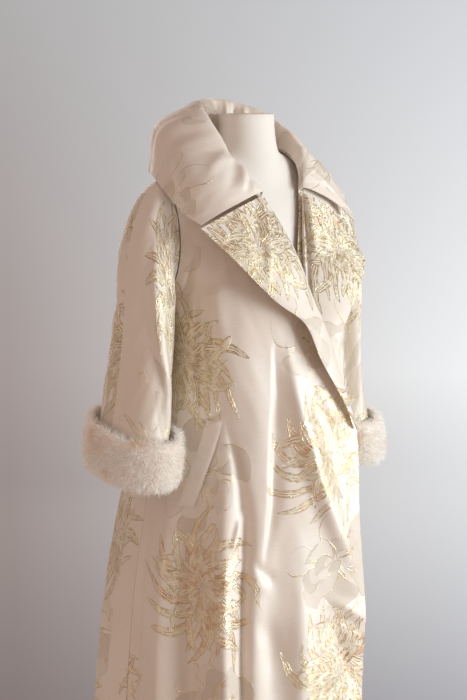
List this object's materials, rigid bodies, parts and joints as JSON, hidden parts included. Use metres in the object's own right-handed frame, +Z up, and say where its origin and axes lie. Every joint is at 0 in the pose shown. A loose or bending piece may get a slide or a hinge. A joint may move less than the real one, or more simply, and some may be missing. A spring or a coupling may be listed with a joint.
{
  "type": "evening coat on a limbless dress form",
  "caption": "Long evening coat in satin brocade with a portrait collar, wide notched lapels and fur cuffs, worn open by a limbless dress form on a round base.",
  "frame": {"origin": "on the floor, at the centre of the stand's round base", "axes": "+Z up, the coat's front faces -Y, the wearer's right side is towards -X"},
  "size_m": [0.7042, 0.5185, 1.5862],
  "materials": {
    "brocade": "ivory satin brocade with gold thread",
    "fur": "soft cream fur",
    "form_cover": "smooth white cotton cover",
    "stand_metal": "off-white painted metal"
  },
  "bodies": {
    "root": {"form_torso": "form_cover", "form_pole": "stand_metal", "form_base": "stand_metal", "back": "brocade", "front_right": "brocade", "front_left": "brocade", "lapel_right": "brocade", "lapel_left": "brocade", "collar": "brocade", "pocket_welt_right": "brocade", "pocket_welt_left": "brocade", "sleeve_right": "brocade", "fur_cuff_right": "fur", "sleeve_left": "brocade", "fur_cuff_left": "fur"}
  },
  "joints": []
}
